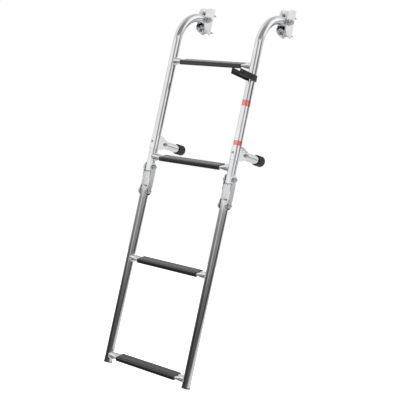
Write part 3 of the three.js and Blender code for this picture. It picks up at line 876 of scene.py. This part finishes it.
def build_standoffs():
    thickness = 1.5 * MM
    for name, side in SIDES.items():
        x = side * STILE_X
        low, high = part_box(f"{name}_standoff_bracket")
        radius = (high.x - low.x - thickness) / 2
        loop = strap_loop(radius, (high.z - low.z) / 2, STANDOFF.y - STILE_Y, high.y - STANDOFF.y)
        bm = bent_sheet([loop], 0, radius, thickness, steps=14)
        # The strap is folded about the side tube's axis and opens towards the hull.
        place = Matrix.Translation((x, STILE_Y, STANDOFF.z)) @ Matrix.Translation((0, -radius, 0))
        move(bm, place @ Matrix.Scale(-1, 4, AXIS_Y))
        round_edges(bm, 0.3 * MM, angle=60)
        make(f"{name}_standoff_strap", bm, "upper_section", f"{name}_standoff_bracket", "polished_plate")
        screw, node = f"{name}_strap_screw", f"{name}_standoff_screw"
        build_screw(screw, "upper_section", node, **SCREW_SIZES["strap_screw"])
        build_standoff_tube(name, x)
        build_pad(name, x)


def build_standoff_tube(name, x):
    low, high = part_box(f"{name}_standoff_tube")
    bm = sweep([(Vector((x, y, STANDOFF.z)), AXIS_Y) for y in (low.y, high.y)])
    make(f"{name}_standoff_leg", bm, f"{name}_standoff", f"{name}_standoff_tube", "polished_tube")


def build_pad(name, x):
    """A rubber cap on the standoff's end, with fine ribs round its side and a soft front edge."""
    low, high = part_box(f"{name}_standoff_pad")
    radius, length = (high.x - low.x) / 2, high.y - low.y
    bore, bottom, bore_edge = TUBE + 0.15 * MM, 5 * MM, 0.5 * MM
    back_edge, front_edge = 1.2 * MM, 2.2 * MM
    side_from, side_steps = 2.6 * MM, 6
    side_length = length - front_edge - 3.4 * MM
    ribs, sides, rib_depth = 48, 192, 0.5 * MM
    profile = [(length - bottom, 0), (length - bottom, bore), (bore_edge, bore), (0, bore + bore_edge)]
    profile += [(y, r) for r, y in arc((radius - back_edge, back_edge), back_edge, -90, 0, 6)]
    profile += [(side_from + side_length * i / side_steps, radius) for i in range(side_steps + 1)]
    profile += [(y, r) for r, y in arc((radius - front_edge, length - front_edge), front_edge, 0, 90, 8)]
    profile += [(length, radius * share) for share in (0.7, 0.5, 0.25, 0)]
    bm = turned(profile, sides)
    ribs_from, ribs_to = 2 * MM, length - front_edge - 0.5 * MM
    for vert in bm.verts:
        reach = math.hypot(vert.co.y, vert.co.z)
        if reach > radius - 0.2 * MM and ribs_from < vert.co.x < ribs_to:
            wave = 0.5 + 0.5 * math.cos(ribs * math.atan2(vert.co.z, vert.co.y))
            vert.co.yz *= 1 - rib_depth / reach * (1 - wave)
    move(bm, Matrix.Translation((x, low.y, STANDOFF.z)) @ X_TO_Y)
    make(f"{name}_ribbed_pad", bm, f"{name}_standoff", f"{name}_standoff_pad", "rubber")


# ---- Storage clip and label ----

LABEL_FROM, LABEL_TO = -150, 60  # degrees round the tube


def clip_outline(half, reach):
    """The clip from above: a ring round the side tube and two arms that reach forward.

    Between the arms is the gap for the folded tube, with a catch at its back on each side.
    """
    grip, bore, lip = 13.2 * MM, TUBE + 0.1 * MM, 8.5 * MM
    tip, flare, taper = 1.2 * MM, 0.9 * MM, 3 * MM
    neck, catch, lip_edge = -16.2 * MM, 1.5 * MM, 0.5 * MM
    lip_from, lip_full, lip_to, bore_mouth = -14.4 * MM, -13.6 * MM, -12 * MM, -7 * MM
    right = [*arc((half - tip, -reach + tip), tip, 0, -90, 4)]
    right += [(grip + flare, -reach), (grip, -reach + taper), (grip, neck)]
    right += arc((grip - catch, neck + 0.4 * MM), catch, -10, 60, 4)
    right += [(lip + lip_edge, lip_from), (lip, lip_full), (lip, lip_to)]
    start = math.degrees(math.atan2(bore_mouth, bore))
    inside = [*arc(ORIGIN, bore, start, 180 - start, 30)]
    outside = [*arc(ORIGIN, half, 180, 0, 30)]
    return outside + right + inside + [(-x, y) for x, y in reversed(right)]


def clip_ribs(side, half, reach, low, high):
    """Slanting grip ribs on the outer face of an arm, each sunk at its ends."""
    pitch, width, rise, sunk = 4.6 * MM, 1.9 * MM, 0.8 * MM, 0.3 * MM
    margin, start_gap, bury = 2.0 * MM, 1.5 * MM, 0.1 * MM
    slant = high - low - 2 * margin
    section = [(-width / 2, -sunk), (-width / 4, rise), (width / 4, rise), (width / 2, -sunk)]
    stations = ((0, 0.02), (0.06, 1), (0.94, 1), (1, 0.02))  # share of the slant, share of the rise
    ribs = []
    for i in range(int((reach - 2 * margin - slant) / pitch)):
        start = STILE_Y - reach + margin + start_gap + i * pitch
        rings = []
        for share, full in stations:
            y, z = start + slant * share, low + margin + slant * share
            rings.append([(STILE_X + side * (half + h * full - bury), y + w, z) for w, h in section])
        bm = bmesh.new()
        loft(bm, rings)
        close_ends(bm)
        ribs.append(bm)
    return ribs


def build_clip():
    low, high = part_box("storage_clip")
    half, reach = (high.x - low.x) / 2, STILE_Y - low.y
    bm = plate([clip_outline(half, reach)], high.z - low.z)
    round_edges(bm, 0.7 * MM, 3, angle=60)
    move(bm, Matrix.Translation((STILE_X, STILE_Y, low.z)))
    ribs = [rib for side in SIDES.values() for rib in clip_ribs(side, half, reach, low.z, high.z)]
    make("fork_clip", join(bm, *ribs), "upper_section", "storage_clip", "clip_plastic")


def build_label():
    """A film bent most of the way round the side tube, a hair proud of it."""
    inner, outer, steps = TUBE + 0.05 * MM, TUBE + 0.18 * MM, 56
    bottom, top = label_low.z, label_high.z
    skin = [(inner, bottom), (outer, bottom), (outer, top), (inner, top)]
    rings = []
    for i in range(steps + 1):
        a = math.radians(LABEL_FROM + (LABEL_TO - LABEL_FROM) * i / steps)
        rings.append([(STILE_X + r * math.cos(a), STILE_Y + r * math.sin(a), z) for r, z in skin])
    bm = bmesh.new()
    loft(bm, rings)
    close_ends(bm)
    make("wrapped_label", bm, "upper_section", "side_label", "label_film")


# ---- Studio ----

CAMERA = {
    "place": Vector((1.7743, -2.3253, -0.6885)),
    "forward": Vector((-0.6148, 0.7876, 0.0399)),
    "up": Vector((-0.1405, -0.1592, 0.9772)),
    "sensor": 36,
    "lens": 84.7,
    "far": 60,
}
# The world's two level axes: from the ladder to the camera's place, and the camera's right.
TO_CAMERA = Vector((-CAMERA["forward"].x, -CAMERA["forward"].y, 0)).normalized()
RIGHT = Vector((-TO_CAMERA.y, TO_CAMERA.x, 0))


def build_camera():
    data = bpy.data.cameras.new("camera")
    data.sensor_width = CAMERA["sensor"]
    data.lens = CAMERA["lens"]
    data.clip_end = CAMERA["far"]
    camera = bpy.data.objects.new("camera", data)
    forward = CAMERA["forward"].normalized()
    right = forward.cross(CAMERA["up"]).normalized()
    up = right.cross(forward)
    turn = Matrix((right, up, -forward)).transposed().to_4x4()
    camera.matrix_world = Matrix.Translation(CAMERA["place"]) @ turn
    bpy.context.scene.collection.objects.link(camera)
    bpy.context.scene.camera = camera


def build_floor():
    """A wide sheet of white paper just under the ladder's feet."""
    gap, radii, sides = 2 * MM, (0.001, 2, 6, 14), 48
    floor_z = min(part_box(f"{name}_foot_plug")[0].z for name in SIDES) - gap
    bm = bmesh.new()
    loft(bm, [[(r * math.cos(a), r * math.sin(a), floor_z) for a in circle(sides)] for r in radii])
    mesh = bpy.data.meshes.new("floor")
    bm.to_mesh(mesh)
    bm.free()
    floor = bpy.data.objects.new("floor", mesh)
    bpy.context.scene.collection.objects.link(floor)
    m = Finish("floor_paper", Roughness=0.9, Emission_Color=grey(1.0), Emission_Strength=0.8)
    m.link(m.tint(m.noise(3.0), grey(0.93), grey(0.96), spread=0.2), "Base Color")
    mesh.materials.append(m.material)
    floor.visible_glossy = False


class Studio(Graph):
    """The world: a grey level for every direction, worked out from two measures of it.

    turn is in degrees round from the direction of the camera's place, positive to its right, and
    z is the sine of the height above the horizon.
    """

    def __init__(self, tree):
        super().__init__(tree)
        direction = self.add("ShaderNodeTexCoord").outputs["Generated"]
        x, y, self.z = self.add("ShaderNodeSeparateXYZ", {"Vector": direction}).outputs
        angle = self.math("ARCTAN2", self.along(RIGHT, x, y), self.along(TO_CAMERA, x, y))
        self.turn = self.math("MULTIPLY", angle, 180 / math.pi)

    def along(self, axis, x, y):
        return self.math("ADD", self.math("MULTIPLY", x, axis.x), self.math("MULTIPLY", y, axis.y))

    def card(self, level, to, centre, half, soft, low, high, fade, lean=0):
        """Turns level to another value inside a card of directions with soft edges.

        centre, half and soft are degrees round, and lean is how far the centre moves for a z of 1.
        low, high and fade are values of z.
        """
        middle = self.math("ADD", self.math("MULTIPLY", self.z, lean), centre)
        away = self.math("ABSOLUTE", self.math("SUBTRACT", self.turn, middle))
        away = self.math("MINIMUM", away, self.math("SUBTRACT", 360, away))
        mask = self.step(away, half, half + soft, 1, 0)
        mask = self.math("MULTIPLY", mask, self.step(self.z, low - fade, low))
        mask = self.math("MULTIPLY", mask, self.step(self.z, high, high + fade, 1, 0))
        return self.blend(level, to, mask)

    def above(self):
        """A bright studio over the horizon, with grey, dark and bright cards."""
        level = self.step(self.math("ABSOLUTE", self.turn), 70, 150, 1.0, 0.76)
        cards = [
            # A grey card that leans, a dark one beside it, and a small dark one over that.
            dict(to=0.30, centre=26, lean=-200, half=4, soft=26, low=0, high=0.28, fade=0.14),
            dict(to=0.11, centre=100, lean=-90, half=16, soft=20, low=0, high=0.165, fade=0.065),
            dict(to=0.18, centre=66, half=6, soft=24, low=0.21, high=0.28, fade=0.10),
            # A bright light to the right, high up, and a grey ceiling over the camera's place.
            dict(to=1.20, centre=92, half=6, soft=18, low=0.36, high=0.75, fade=0.12),
            dict(to=0.30, centre=-2, half=44, soft=28, low=0.44, high=1.1, fade=0.14),
            # Just over the horizon: a wide white strip, two narrow paler ones and a dark one.
            dict(to=1.05, centre=-20, half=75, soft=12, low=0, high=0.066, fade=0.012),
            dict(to=0.88, centre=105, half=7, soft=8, low=0, high=0.100, fade=0.012),
            dict(to=0.55, centre=105, half=7, soft=8, low=0, high=0.064, fade=0.008),
            dict(to=0.09, centre=130, half=6, soft=10, low=0, high=0.09, fade=0.03),
        ]
        for card in cards:
            level = self.card(level, **card)
        zenith_level = 0.52
        return self.blend(level, zenith_level, self.step(self.z, 0.82, 1.0))

    def under(self):
        """The dark edge of a table under the horizon, a light at its right, and its white top."""
        edge = self.step(self.z, -0.13, 0.05, 0.09, 0.32)
        dim, bright = self.math("MULTIPLY", edge, 0.28), self.math("MULTIPLY", edge, 2.2)
        level = self.card(edge, dim, centre=-70, half=9, soft=22, low=-0.3, high=-0.06, fade=0.09)
        level = self.card(level, bright, centre=-30, half=3, soft=18, low=-0.03, high=0.05, fade=0.04)
        dark = dict(to=0.04, centre=84, lean=440, half=6, soft=22, low=-0.08, high=0.05, fade=0.03)
        level = self.card(level, **dark)
        light_level, table_level = 0.76, 0.80
        light_turn, light_lean, light_soft = 142, 715, 28
        light_from = self.math("ADD", self.math("MULTIPLY", self.z, light_lean), light_turn)
        past = self.step(self.math("SUBTRACT", self.turn, light_from), -light_soft, light_soft)
        light = self.math("MAXIMUM", past, self.step(self.turn, -175, -125, 1, 0))
        level = self.blend(level, light_level, light)
        level = self.blend(level, table_level, self.step(self.z, -0.32, -0.26, 1, 0))
        return self.card(level, 0.08, centre=-88, half=16, soft=14, low=-0.8, high=-0.5, fade=0.08)


def build_world():
    """A studio placed by direction alone, for reflections and light; the camera sees white."""
    world = bpy.data.worlds.new("studio")
    bpy.context.scene.world = world
    world.use_nodes = True
    studio = Studio(world.node_tree)
    horizon = studio.step(studio.z, 0.034, 0.046, 1, 0)
    level = studio.blend(studio.above(), studio.under(), horizon)
    seen = studio.add("ShaderNodeLightPath").outputs["Is Camera Ray"]
    background = world.node_tree.nodes["Background"]
    world.node_tree.links.new(studio.blend(level, 1.0, seen), background.inputs["Strength"])
    background.inputs["Color"].default_value = grey(1)


def softbox(name, place, target, size, power):
    """A wide soft light that the polished metal doesn't mirror."""
    light = bpy.data.lights.new(name, "AREA")
    light.shape = "RECTANGLE"
    light.size, light.size_y = size
    light.energy = power
    item = bpy.data.objects.new(name, light)
    item.location = place
    item.rotation_euler = (Vector(target) - Vector(place)).to_track_quat("-Z", "Y").to_euler()
    item.visible_glossy = False
    bpy.context.scene.collection.objects.link(item)


build_camera()
build_stiles()
build_steps()
build_fasteners()
build_brackets()
build_links()
build_standoffs()
build_clip()
build_label()
build_floor()
build_world()
softbox("key", place=(1.6, -2.2, 1.6), target=(0, -0.1, -0.5), size=(1.6, 1.6), power=38)
softbox("fill", place=(-2.4, -1.0, 0.9), target=(0, -0.1, -0.6), size=(1.4, 2.0), power=22)
bpy.context.scene.view_settings.view_transform = "Standard"
